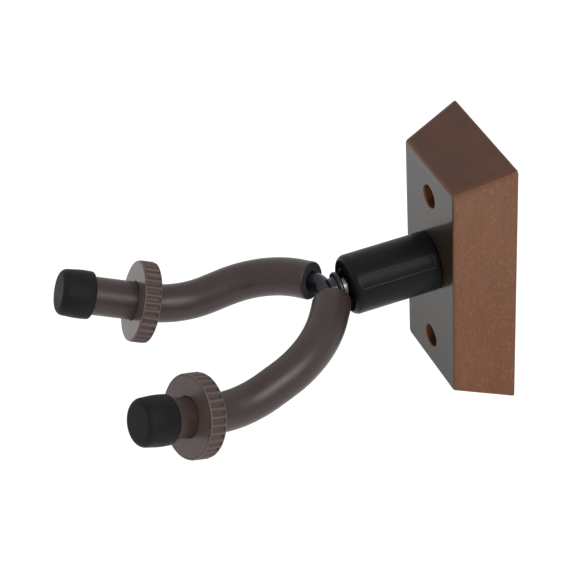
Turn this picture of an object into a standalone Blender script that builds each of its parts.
"""Wall guitar hanger: a bevelled wood block, a swivel housing, and a bent steel yoke in rubber sleeves.

Metres, +Z up. The wall is the plane y = 0, the hanger stands out from it along -Y, and the origin is the
centre of the block's back face. Distances called "reach" are measured out from the wall.
"""

from math import cos, pi, radians, sin, tan

import bmesh
import bpy
from mathutils import Matrix, Vector

# Running and seating clearances
SEAT = 0.0003  # between faces that bear on each other
RUNNING = 0.00008  # radial, between a turning shaft and its bush
PRESSED = 0.00005  # radial, between a pressed or pushed-on piece and its seat
THREAD = 0.0001  # radial, between a nut and its thread
STEM_CLEARANCE = 0.0006  # radial, where the stem passes the housing without bearing on it
CUT_PAST = 0.005  # of a cutter beyond the faces that it cuts through

# Wood block
BLOCK_HEIGHT = 0.119
BLOCK_WIDTH = 0.0572
BLOCK_THICKNESS = 0.0256
FACE_HEIGHT = 0.1025
FACE_WIDTH = 0.0445
EDGE_ROUNDING = 0.0011
SCREW_SPACING = 0.0734
SCREW_HEAD_DIAMETER = 0.010
SCREW_HEAD_DEPTH = 0.013
SCREW_SHANK_DIAMETER = 0.005

# Yoke rod: a tight shoulder beside the hub, a wide elbow, a leg that slopes down to a knee, and a tip that
# turns up and out
ROD_DIAMETER = 0.008
SHOULDER_OUT = 0.0070
SHOULDER_RADIUS = 0.0093
ELBOW_OUT = 0.0291
ELBOW_AHEAD = 0.0153
ELBOW_RADIUS = 0.045
KNEE_OUT = 0.0356
KNEE_AHEAD = 0.0521
KNEE_DROP = 0.0148
KNEE_RADIUS = 0.040
TIP_LENGTH = 0.0451  # of sleeve past the knee
TIP_RISE = radians(21.8)
TIP_SPLAY = radians(10.3)
ROD_SETBACK = 0.002  # of the rod's end inside its sleeve

# Rubber sleeves, caps and grip discs
TUBE_DIAMETER = 0.016
LEFT_TUBE_START = 0.0103  # along the rod from its middle
RIGHT_TUBE_START = 0.0065  # this sleeve is pushed further in, close to the hub
TUBE_FIT = 0.00015  # radial, between a rubber piece and what it is pushed over
CAP_LENGTH = 0.0139
CAP_WALL = 0.002
CAP_TAPER = 0.0012  # loss of diameter from mouth to tip
CAP_END_WALL = 0.003
CAP_ROUNDING = 0.0026
CAP_LIP = 0.0008
LEFT_CAP_STANDOFF = 0.0035  # this cap isn't pushed fully home
DISC_DIAMETER = 0.034
DISC_THICKNESS = 0.0074
DISC_RIM_WIDTH = 0.0009
DISC_TEETH = 32
DISC_TOOTH_DEPTH = 0.0009
LEFT_DISC_SEAT = 0.0163  # past the knee, along the tip
RIGHT_DISC_SEAT = 0.0223

# Swivel stem and what is on it
STEM_DIAMETER = 0.007
STEM_THREAD_DIAMETER = STEM_DIAMETER - 0.001
STEM_END_PROUD = 0.0015
STEM_CHAMFER = 0.0006
STEM_NUT_FLATS = STEM_THREAD_DIAMETER + 0.004
STEM_NUT_LENGTH = 0.0055
STEM_WASHER_THICKNESS = 0.001
DISC_SPRING_THICKNESS = 0.0005
DISC_SPRING_CONE = 0.00045
STEM_BARE = 0.0023  # length seen between the housing's nose and the hub
HUB_DIAMETER = STEM_DIAMETER + 0.007
HUB_BOSS_DIAMETER = STEM_DIAMETER + 0.003
HUB_LENGTH = 0.0024  # from its back to the back of the rod
HUB_ROUNDING = 0.0008
SADDLE_HORN = 0.0025  # of the hub's boss past the back of the rod
WASHER_PLAY = 0.0006  # radial, between the stem's washers and the housing

# Bushes
BUSH_LENGTH = 0.010
BUSH_DIAMETER = STEM_DIAMETER + 0.005
BUSH_FLANGE_DIAMETER = BUSH_DIAMETER + 0.0015
BUSH_FLANGE_THICKNESS = 0.0012

# Swivel housing, its threaded tail, and the nut that pulls it onto the block
SWIVEL_HEIGHT = 0.0041  # of the swivel axis above the block's centre
HOUSING_DIAMETER = 0.0252
HOUSING_LENGTH = 0.0380
NOSE_ROUNDING = 0.0028
TAIL_BORE = STEM_NUT_FLATS / cos(pi / 6) + 0.002
TAIL_WALL = 0.0022
TAIL_DIAMETER = TAIL_BORE + 2 * TAIL_WALL
TAIL_SETBACK = 0.0015  # of the tail's end inside the wall face
REAR_BUSH_SINK = 0.0041  # of the rear bush's inner end behind the block's front face
HOUSING_NUT_FLATS = TAIL_DIAMETER + 0.009
HOUSING_NUT_LENGTH = 0.005
HOUSING_NUT_SETBACK = 0.0023
HOUSING_WASHER_DIAMETER = HOUSING_NUT_FLATS / cos(pi / 6) + 0.0012
HOUSING_WASHER_THICKNESS = 0.0016
LOCK_WASHER_WIDTH = 0.0042
LOCK_WASHER_THICKNESS = 0.0015
LOCK_WASHER_SPLIT = 0.0012
RECESS_DIAMETER = HOUSING_WASHER_DIAMETER + 0.0015
RECESS_DEPTH = (
    HOUSING_NUT_SETBACK
    + HOUSING_NUT_LENGTH
    + LOCK_WASHER_THICKNESS
    + HOUSING_WASHER_THICKNESS
    + 3 * SEAT
)

# Reaches from the wall, front to back along the swivel axis
HOUSING_FOOT = BLOCK_THICKNESS + SEAT
HOUSING_NOSE = HOUSING_FOOT + HOUSING_LENGTH
HUB_BACK = HOUSING_NOSE + STEM_BARE
YOKE_REACH = HUB_BACK + HUB_LENGTH + ROD_DIAMETER / 2
REAR_BUSH_REACH = BLOCK_THICKNESS - REAR_BUSH_SINK

ROUND_SIDES = 40
SMALL_SIDES = 24
BEND_STEP = radians(7)


def start_empty():
    for old in list(bpy.data.objects):
        bpy.data.objects.remove(old)


def material(name, colour, roughness, metallic=0.0):
    made = bpy.data.materials.new(name)
    made.use_nodes = True
    shader = made.node_tree.nodes["Principled BSDF"]
    shader.inputs["Base Color"].default_value = (*colour, 1.0)
    shader.inputs["Roughness"].default_value = roughness
    shader.inputs["Metallic"].default_value = metallic
    return made


def finished(name, shape, finish, place=(0, 0, 0), parent=None):
    """The bmesh as a named object, its normals facing out and its round sides shaded smooth."""
    bmesh.ops.recalc_face_normals(shape, faces=shape.faces)
    mesh = bpy.data.meshes.new(name)
    shape.to_mesh(mesh)
    shape.free()
    mesh.shade_smooth()
    mesh.set_sharp_from_angle(angle=radians(35))
    mesh.materials.append(finish)
    made = bpy.data.objects.new(name, mesh)
    bpy.context.collection.objects.link(made)
    made.location = place
    made.parent = parent
    return made


def axis_empty(name, place, parent=None):
    made = bpy.data.objects.new(name, None)
    bpy.context.collection.objects.link(made)
    made.empty_display_size = 0.01
    made.location = place
    made.parent = parent
    return made


def cut(body, cutter):
    cutter.hide_render = True
    cutter.display_type = "WIRE"
    modifier = body.modifiers.new(cutter.name, "BOOLEAN")
    modifier.operation = "DIFFERENCE"
    modifier.object = cutter


def spun(outline, sides):
    """The outline, as (radius, reach) points, turned about the Y axis. One that starts and ends at radius 0
    is closed by the axis, and any other is a ring closed from its last point to its first."""
    shape = bmesh.new()
    points = [shape.verts.new((radius, -reach, 0)) for radius, reach in outline]
    edges = [shape.edges.new(pair) for pair in zip(points, points[1:])]
    if outline[0][0] > 0:
        edges.append(shape.edges.new((points[-1], points[0])))
    bmesh.ops.spin(
        shape, geom=points + edges, cent=(0, 0, 0), axis=(0, 1, 0), angle=2 * pi, steps=sides
    )
    bmesh.ops.remove_doubles(shape, verts=shape.verts, dist=1e-6)
    return shape


def turned(name, outline, finish, place, parent=None, sides=SMALL_SIDES):
    return finished(name, spun(outline, sides), finish, place, parent)


def ring(inner, outer, near, far):
    """The outline of a plain ring between two radii and two reaches."""
    return [(inner, near), (outer, near), (outer, far), (inner, far)]


def rounded_corner(centre_radius, centre_reach, size, first, last, steps=5):
    """Points of a quarter-round edge on an outline, from angle first to angle last."""
    turns = [first + (last - first) * step / steps for step in range(steps + 1)]
    return [(centre_radius + size * cos(a), centre_reach + size * sin(a)) for a in turns]


def hex_nut(name, flats, bore, near, far, finish, place, parent=None):
    """A hexagon across the given flats, with a round bore and chamfered corners, between two reaches."""
    corner = flats / 2 / cos(pi / 6)
    shape = bmesh.new()
    bmesh.ops.create_cone(
        shape,
        cap_ends=True,
        segments=6,
        radius1=corner,
        radius2=corner,
        depth=far - near,
        matrix=Matrix.Translation((0, -(near + far) / 2, 0)) @ Matrix.Rotation(pi / 2, 4, "X"),
    )
    nut = finished(name, shape, finish, place, parent)
    start = near - CUT_PAST
    end = far + CUT_PAST
    hole = [(0, start), (bore, start), (bore, end), (0, end)]
    cut(nut, turned(name + "_bore", hole, finish, place, parent))
    return nut


def split_washer(name, inner, near, far, finish, place):
    """A spring lock washer: a square-section ring with one narrow gap."""
    outer = inner + LOCK_WASHER_WIDTH
    washer = turned(name, ring(inner, outer, near, far), finish, place, sides=ROUND_SIDES)
    shape = bmesh.new()
    bmesh.ops.create_cube(
        shape,
        size=1,
        matrix=Matrix.Translation((0, -(near + far) / 2, outer))
        @ Matrix.Diagonal((LOCK_WASHER_SPLIT, 3 * (far - near), outer, 1)),
    )
    cut(washer, finished(name + "_split", shape, finish, place))
    return washer


def wood_block(wood):
    """Four-sided block with sloping edges, bored for the housing and counterbored for two wall screws."""
    shape = bmesh.new()
    back = [(x * BLOCK_WIDTH / 2, 0, z * BLOCK_HEIGHT / 2) for x, z in ((-1, -1), (1, -1), (1, 1), (-1, 1))]
    front = [
        (x * FACE_WIDTH / 2, -BLOCK_THICKNESS, z * FACE_HEIGHT / 2)
        for x, z in ((-1, -1), (1, -1), (1, 1), (-1, 1))
    ]
    ends = [[shape.verts.new(point) for point in corners] for corners in (back, front)]
    for corners in ends:
        shape.faces.new(corners)
    for here in range(4):
        after = (here + 1) % 4
        shape.faces.new((ends[0][here], ends[0][after], ends[1][after], ends[1][here]))
    bmesh.ops.recalc_face_normals(shape, faces=shape.faces)
    bmesh.ops.bevel(
        shape, geom=shape.edges[:], offset=EDGE_ROUNDING, segments=3, profile=0.5, affect="EDGES"
    )
    block = finished("wood_block", shape, wood)

    tail_hole = TAIL_DIAMETER / 2 + SEAT
    bore = turned(
        "housing_bore",
        [
            (0, -CUT_PAST),
            (RECESS_DIAMETER / 2, -CUT_PAST),
            (RECESS_DIAMETER / 2, RECESS_DEPTH),
            (tail_hole, RECESS_DEPTH),
            (tail_hole, BLOCK_THICKNESS + CUT_PAST),
            (0, BLOCK_THICKNESS + CUT_PAST),
        ],
        wood,
        (0, 0, SWIVEL_HEIGHT),
        sides=ROUND_SIDES,
    )
    cut(block, bore)
    seat = BLOCK_THICKNESS - SCREW_HEAD_DEPTH
    for name, side in (("upper", 1), ("lower", -1)):
        hole = turned(
            name + "_screw_hole",
            [
                (0, -CUT_PAST),
                (SCREW_SHANK_DIAMETER / 2, -CUT_PAST),
                (SCREW_SHANK_DIAMETER / 2, seat),
                (SCREW_HEAD_DIAMETER / 2, seat),
                (SCREW_HEAD_DIAMETER / 2, BLOCK_THICKNESS + CUT_PAST),
                (0, BLOCK_THICKNESS + CUT_PAST),
            ],
            wood,
            (0, 0, side * SCREW_SPACING / 2),
        )
        cut(block, hole)
    return block


def fixed_housing(paint, zinc, polymer):
    """Housing with its tail through the block, its washers and nut, and two bushes pressed in."""
    axis = (0, 0, SWIVEL_HEIGHT)
    nose = HOUSING_NOSE
    tail = TAIL_DIAMETER / 2
    body = HOUSING_DIAMETER / 2
    bush_hole = BUSH_DIAMETER / 2 + PRESSED
    stem_hole = STEM_DIAMETER / 2 + STEM_CLEARANCE
    rear_stop = REAR_BUSH_REACH + BUSH_LENGTH + SEAT
    front_stop = nose - BUSH_LENGTH - SEAT
    flange = BUSH_FLANGE_DIAMETER / 2
    flange_seat = nose - BUSH_FLANGE_THICKNESS - SEAT
    outline = [
        (TAIL_BORE / 2, TAIL_SETBACK),
        (tail, TAIL_SETBACK),
        (tail, HOUSING_FOOT),
        (body, HOUSING_FOOT),
        *rounded_corner(body - NOSE_ROUNDING, nose - NOSE_ROUNDING, NOSE_ROUNDING, 0, pi / 2),
        (flange + SEAT, nose),
        (flange + SEAT, flange_seat),
        (bush_hole, flange_seat),
        (bush_hole, front_stop),
        (stem_hole, front_stop),
        (stem_hole, rear_stop),
        (TAIL_BORE / 2, rear_stop),
    ]
    turned("pivot_housing", outline, paint, axis, sides=ROUND_SIDES)

    washer_face = RECESS_DEPTH - SEAT
    washer_back = washer_face - HOUSING_WASHER_THICKNESS
    turned(
        "housing_washer",
        ring(tail + SEAT, HOUSING_WASHER_DIAMETER / 2, washer_back, washer_face),
        zinc,
        axis,
        sides=ROUND_SIDES,
    )
    lock_face = washer_back - SEAT
    lock_back = lock_face - LOCK_WASHER_THICKNESS
    split_washer("housing_lock_washer", tail + SEAT, lock_back, lock_face, zinc, axis)
    nut_face = lock_back - SEAT
    hex_nut(
        "housing_nut", HOUSING_NUT_FLATS, tail + THREAD, nut_face - HOUSING_NUT_LENGTH, nut_face, zinc, axis
    )

    bore = STEM_DIAMETER / 2 + RUNNING
    turned(
        "front_bushing",
        [
            (bore, nose - BUSH_LENGTH),
            (BUSH_DIAMETER / 2, nose - BUSH_LENGTH),
            (BUSH_DIAMETER / 2, flange_seat + SEAT),
            (flange, flange_seat + SEAT),
            (flange, nose),
            (bore, nose),
        ],
        polymer,
        axis,
    )
    turned(
        "rear_bushing",
        ring(bore, TAIL_BORE / 2 - PRESSED, REAR_BUSH_REACH, REAR_BUSH_REACH + BUSH_LENGTH),
        polymer,
        axis,
    )


def swivel_stack(steel, zinc, swivel):
    """Stem through both bushes, with the hub in front and the spring stack and nut behind."""
    on_axis = (0, YOKE_REACH, 0)  # outlines give reach from the wall; the swivel empty stands at the yoke
    rod_back = YOKE_REACH - ROD_DIAMETER / 2
    stem = STEM_DIAMETER / 2
    thread = STEM_THREAD_DIAMETER / 2
    hub_edge = HUB_DIAMETER / 2 - HUB_ROUNDING
    boss = HUB_BOSS_DIAMETER / 2
    hub = turned(
        "yoke_hub",
        [
            (stem + PRESSED, HUB_BACK),
            *rounded_corner(hub_edge, HUB_BACK + HUB_ROUNDING, HUB_ROUNDING, -pi / 2, 0, steps=2),
            *rounded_corner(hub_edge, rod_back - SEAT - HUB_ROUNDING, HUB_ROUNDING, 0, pi / 2, steps=2),
            (boss, rod_back - SEAT),
            (boss, rod_back + SADDLE_HORN),
            (stem + PRESSED, rod_back + SADDLE_HORN),
        ],
        steel,
        on_axis,
        swivel,
    )
    saddle = finished(
        "hub_saddle",
        tube_mesh(rod_route(HUB_DIAMETER), 0, ROD_DIAMETER / 2 + SEAT),
        steel,
        parent=swivel,
    )
    cut(hub, saddle)

    washer_face = REAR_BUSH_REACH - SEAT
    washer_back = washer_face - STEM_WASHER_THICKNESS
    spring_gap = DISC_SPRING_CONE + DISC_SPRING_THICKNESS + SEAT
    nut_face = washer_back - SEAT - 2 * spring_gap
    nut_back = nut_face - STEM_NUT_LENGTH
    stem_end = nut_back - STEM_END_PROUD
    turned(
        "swivel_stem",
        [
            (0, stem_end),
            (thread - STEM_CHAMFER, stem_end),
            (thread, stem_end + STEM_CHAMFER),
            (thread, washer_face + SEAT),
            (stem, washer_face + SEAT),
            (stem, rod_back - SEAT),
            (0, rod_back - SEAT),
        ],
        zinc,
        on_axis,
        swivel,
    )
    turned(
        "stem_washer",
        ring(thread + THREAD, TAIL_BORE / 2 - WASHER_PLAY, washer_back, washer_face),
        zinc,
        on_axis,
        swivel,
    )
    inner = thread + SEAT
    outer = TAIL_BORE / 2 - WASHER_PLAY
    cup_face = washer_back - SEAT
    for name, inner_lift, outer_lift in (("front_disc_spring", 0, 1), ("rear_disc_spring", 1, 0)):
        low = cup_face - DISC_SPRING_CONE - DISC_SPRING_THICKNESS
        inner_reach = low + inner_lift * DISC_SPRING_CONE
        outer_reach = low + outer_lift * DISC_SPRING_CONE
        turned(
            name,
            [
                (inner, inner_reach),
                (outer, outer_reach),
                (outer, outer_reach + DISC_SPRING_THICKNESS),
                (inner, inner_reach + DISC_SPRING_THICKNESS),
            ],
            steel,
            on_axis,
            swivel,
        )
        cup_face = low - SEAT
    hex_nut("stem_nut", STEM_NUT_FLATS, thread + THREAD, nut_back, nut_face, zinc, on_axis, swivel)


def tip_direction():
    """Unit vector along the right arm's tip: out from the wall, up, and away from the neck."""
    return Vector((tan(TIP_SPLAY), -1, tan(TIP_RISE))).normalized()


def knee():
    """The right arm's lower corner, from the middle of the yoke."""
    return Vector((KNEE_OUT, -KNEE_AHEAD, -KNEE_DROP))


def elbow():
    """The right arm's upper corner, in the plane that holds the rod's middle and both knees."""
    return Vector((ELBOW_OUT, -ELBOW_AHEAD, -ELBOW_AHEAD * KNEE_DROP / KNEE_AHEAD))


def fillet(before, corner, after, radius):
    """Points of the arc of this radius that rounds a corner between two straight runs."""
    back = (before - corner).normalized()
    ahead = (after - corner).normalized()
    opening = back.angle(ahead)
    centre = corner + (back + ahead).normalized() * radius / sin(opening / 2)
    start = corner + back * radius / tan(opening / 2)
    sweep = pi - opening
    turn_axis = (start - centre).cross(ahead)
    steps = max(2, round(sweep / BEND_STEP))
    return [
        centre + Matrix.Rotation(sweep * step / steps, 3, turn_axis) @ (start - centre)
        for step in range(steps + 1)
    ]


def arm_route():
    """The right arm's centre line, from the middle of the yoke to its tip."""
    middle = Vector((0, 0, 0))
    shoulder = Vector((SHOULDER_OUT, 0, 0))
    tip = knee() + tip_direction() * TIP_LENGTH
    return [
        middle,
        *fillet(middle, shoulder, elbow(), SHOULDER_RADIUS),
        *fillet(shoulder, elbow(), knee(), ELBOW_RADIUS),
        *fillet(elbow(), knee(), tip, KNEE_RADIUS),
        tip,
    ]


def stretch(route, first, last):
    """The part of a route between two distances along it."""
    picked = []
    done = 0.0
    for here, after in zip(route, route[1:]):
        run = (after - here).length
        if done <= first < done + run:
            picked.append(here.lerp(after, (first - done) / run))
        elif first < done < last:
            picked.append(here)
        if done < last <= done + run + 1e-9:
            picked.append(here.lerp(after, (last - done) / run))
        done += run
    return picked


def route_length(route):
    return sum((after - here).length for here, after in zip(route, route[1:]))


def mirrored(route):
    return [Vector((-point.x, point.y, point.z)) for point in route]


def rod_route(half_length):
    """The rod's centre line, the same distance to each side of its middle."""
    right = stretch(arm_route(), 0, half_length)
    return mirrored(right)[:0:-1] + right


def tube_mesh(route, inner, outer, sides=20):
    """A round bar along a route, or a tube where the inner radius isn't 0, with square-cut ends."""
    shape = bmesh.new()
    tangents = []
    for here in range(len(route)):
        ahead = route[min(here + 1, len(route) - 1)]
        behind = route[max(here - 1, 0)]
        tangents.append((ahead - behind).normalized())
    across = tangents[0].orthogonal().normalized()
    rings = []
    for here, point in enumerate(route):
        if here:
            across = tangents[here - 1].rotation_difference(tangents[here]) @ across
        up = tangents[here].cross(across)
        around = [
            across * cos(2 * pi * side / sides) + up * sin(2 * pi * side / sides) for side in range(sides)
        ]
        radii = [radius for radius in (outer, inner) if radius]
        rings.append([[shape.verts.new(point + way * radius) for way in around] for radius in radii])
    skins = range(len(rings[0]))
    for first, second in zip(rings, rings[1:]):
        for skin in skins:
            for side in range(sides):
                after = (side + 1) % sides
                shape.faces.new(
                    (first[skin][side], first[skin][after], second[skin][after], second[skin][side])
                )
    for end in (rings[0], rings[-1]):
        if len(end) == 1:
            shape.faces.new(end[0])
            continue
        for side in range(sides):
            after = (side + 1) % sides
            shape.faces.new((end[0][side], end[0][after], end[1][after], end[1][side]))
    return shape


def facing(direction):
    """The rotation that turns a piece modelled along -Y to point along a direction."""
    return Vector((0, -1, 0)).rotation_difference(direction).to_euler()


def fluted_disc(name, finish, place, direction, parent):
    """A rubber wheel with a fluted edge between two thin plain rims, and a round bore."""
    bore = TUBE_DIAMETER / 2 + TUBE_FIT
    half = DISC_THICKNESS / 2
    rim = half - DISC_RIM_WIDTH
    crest = DISC_DIAMETER / 2
    root = crest - DISC_TOOTH_DEPTH
    levels = [
        (-half, bore, bore),
        (-half, crest - DISC_TOOTH_DEPTH / 2, crest - DISC_TOOTH_DEPTH / 2),
        (-rim, crest, root),
        (rim, crest, root),
        (half, crest - DISC_TOOTH_DEPTH / 2, crest - DISC_TOOTH_DEPTH / 2),
        (half, bore, bore),
    ]
    shape = bmesh.new()
    steps = 2 * DISC_TEETH
    rings = []
    for reach, on_crest, on_root in levels:
        points = []
        for step in range(steps):
            angle = pi * step / DISC_TEETH
            radius = on_root if step % 2 else on_crest
            points.append(shape.verts.new((radius * cos(angle), reach, radius * sin(angle))))
        rings.append(points)
    for first, second in zip(rings, rings[1:] + rings[:1]):
        for step in range(steps):
            after = (step + 1) % steps
            shape.faces.new((first[step], first[after], second[after], second[step]))
    disc = finished(name, shape, finish, place, parent)
    disc.rotation_euler = facing(direction)
    return disc


def end_cap(name, finish, place, direction, parent):
    """A rubber cup pushed over the sleeve's end. Its origin is the middle of its closed end."""
    tube = TUBE_DIAMETER / 2 + TUBE_FIT
    mouth = TUBE_DIAMETER / 2 + CAP_WALL
    tip = mouth - CAP_TAPER / 2
    outline = [
        (0, 0),
        *rounded_corner(tip - CAP_ROUNDING, -CAP_ROUNDING, CAP_ROUNDING, pi / 2, 0),
        (mouth, -CAP_LENGTH + CAP_LIP),
        (mouth - CAP_LIP, -CAP_LENGTH),
        (tube, -CAP_LENGTH),
        (tube, -CAP_END_WALL),
        (0, -CAP_END_WALL),
    ]
    cap = finished(name, spun(outline, SMALL_SIDES), finish, place, parent)
    cap.rotation_euler = facing(direction)
    return cap


def yoke(steel, sleeve_rubber, disc_rubber, cap_rubber, swivel):
    """Bent rod in its two sleeves, with a grip disc and an end cap on each arm."""
    route = arm_route()
    tube_end = route_length(route)
    rod = tube_mesh(rod_route(tube_end - ROD_SETBACK), 0, ROD_DIAMETER / 2, sides=16)
    finished("yoke_rod", rod, steel, parent=swivel)
    inner = ROD_DIAMETER / 2 + TUBE_FIT
    arms = (
        ("left", -1, LEFT_TUBE_START, LEFT_DISC_SEAT, LEFT_CAP_STANDOFF),
        ("right", 1, RIGHT_TUBE_START, RIGHT_DISC_SEAT, 0),
    )
    for name, side, tube_start, disc_seat, standoff in arms:
        sleeve = stretch(route, tube_start, tube_end)
        line = sleeve if side > 0 else mirrored(sleeve)
        finished("tube_" + name, tube_mesh(line, inner, TUBE_DIAMETER / 2), sleeve_rubber, parent=swivel)
        flip = Matrix.Diagonal((side, 1, 1))
        direction = flip @ tip_direction()
        disc_place = flip @ (knee() + tip_direction() * disc_seat)
        cap_seat = TIP_LENGTH + SEAT + CAP_END_WALL + standoff
        cap_place = flip @ (knee() + tip_direction() * cap_seat)
        fluted_disc("grip_disc_" + name, disc_rubber, disc_place, direction, swivel)
        end_cap("end_cap_" + name, cap_rubber, cap_place, direction, swivel)


start_empty()
wood_block(material("stained_wood", (0.20, 0.10, 0.055), 0.35))
black_paint = material("black_housing", (0.012, 0.012, 0.012), 0.4)
zinc_plate = material("zinc_plate", (0.55, 0.56, 0.58), 0.35, 1.0)
black_steel = material("black_steel", (0.02, 0.023, 0.028), 0.3, 1.0)
acetal = material("bush_polymer", (0.03, 0.03, 0.03), 0.45)
fixed_housing(black_paint, zinc_plate, acetal)
swivel_axis = axis_empty("swivel_axis", (0, -YOKE_REACH, SWIVEL_HEIGHT))
swivel_stack(black_steel, zinc_plate, swivel_axis)
yoke(
    black_steel,
    material("sleeve_rubber", (0.065, 0.054, 0.048), 0.45),
    material("disc_rubber", (0.10, 0.072, 0.065), 0.4),
    material("cap_rubber", (0.016, 0.016, 0.016), 0.5),
    swivel_axis,
)
